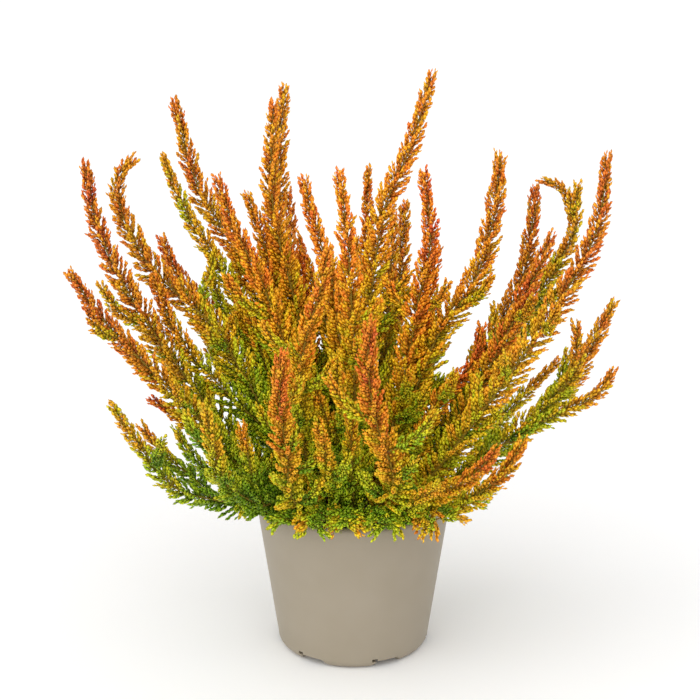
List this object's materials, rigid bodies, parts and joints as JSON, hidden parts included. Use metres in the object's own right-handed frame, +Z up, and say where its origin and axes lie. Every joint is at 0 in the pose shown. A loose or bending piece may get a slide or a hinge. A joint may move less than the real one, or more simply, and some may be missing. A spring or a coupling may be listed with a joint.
{
  "type": "potted heather",
  "caption": "Upright heather plant with long leafy spikes in orange, yellow and green, standing in a round tapered nursery pot.",
  "frame": {"origin": "centre of the plane that the pot's feet stand on, under the middle of the plant", "axes": "+Z up along the pot's axis; -Y towards the front, as pictured; +X to the right of the front view"},
  "size_m": [0.3235, 0.2162, 0.35],
  "materials": {
    "pot": "satin",
    "soil": "matte",
    "foliage_orange": "matte",
    "foliage_yellow": "matte",
    "foliage_green": "matte"
  },
  "bodies": {
    "root": {"pot": "pot", "soil": "soil", "shoot_over_rim_a": "foliage_green", "shoot_over_rim_b": "foliage_green", "shoot_over_rim_c": "foliage_yellow", "shoot_over_rim_d": "foliage_green", "shoot_over_rim_e": "foliage_green", "shoot_over_rim_f": "foliage_green", "shoot_over_rim_right": "foliage_orange", "spike_back_1": "foliage_orange", "spike_back_10": "foliage_orange", "spike_back_11": "foliage_yellow", "spike_back_12": "foliage_green", "spike_back_2": "foliage_yellow", "spike_back_3": "foliage_green", "spike_back_4": "foliage_orange", "spike_back_5": "foliage_yellow", "spike_back_6": "foliage_green", "spike_back_7": "foliage_orange", "spike_back_8": "foliage_yellow", "spike_back_9": "foliage_green", "spike_centre_right": "foliage_green", "spike_front_green": "foliage_yellow", "spike_front_inner": "foliage_orange", "spike_front_left": "foliage_orange", "spike_front_middle_a": "foliage_yellow", "spike_front_middle_b": "foliage_yellow", "spike_front_middle_c": "foliage_yellow", "spike_front_right": "foliage_orange", "spike_left_hooked": "foliage_orange", "spike_left_inner": "foliage_orange", "spike_left_leaning": "foliage_orange", "spike_left_low": "foliage_orange", "spike_left_short": "foliage_orange", "spike_left_tall": "foliage_orange", "spike_left_yellow": "foliage_yellow", "spike_middle_back": "foliage_orange", "spike_middle_front": "foliage_orange", "spike_middle_inner": "foliage_orange", "spike_middle_left": "foliage_orange", "spike_middle_right": "foliage_orange", "spike_middle_tall": "foliage_orange", "spike_middle_thin": "foliage_orange", "spike_right_behind": "foliage_orange", "spike_right_inner": "foliage_orange", "spike_right_leaning": "foliage_orange", "spike_right_low": "foliage_orange", "spike_right_nodding": "foliage_yellow", "spike_right_short": "foliage_orange", "spike_right_tall": "foliage_orange", "spike_right_thick": "foliage_orange", "spike_tallest": "foliage_orange", "spray_back_left": "foliage_green", "spray_front_left": "foliage_yellow", "spray_front_right": "foliage_yellow", "spray_left_green": "foliage_green", "spray_left_long": "foliage_yellow", "spray_right_front": "foliage_orange", "spray_right_lower": "foliage_green", "spray_right_upper": "foliage_orange"}
  },
  "joints": []
}
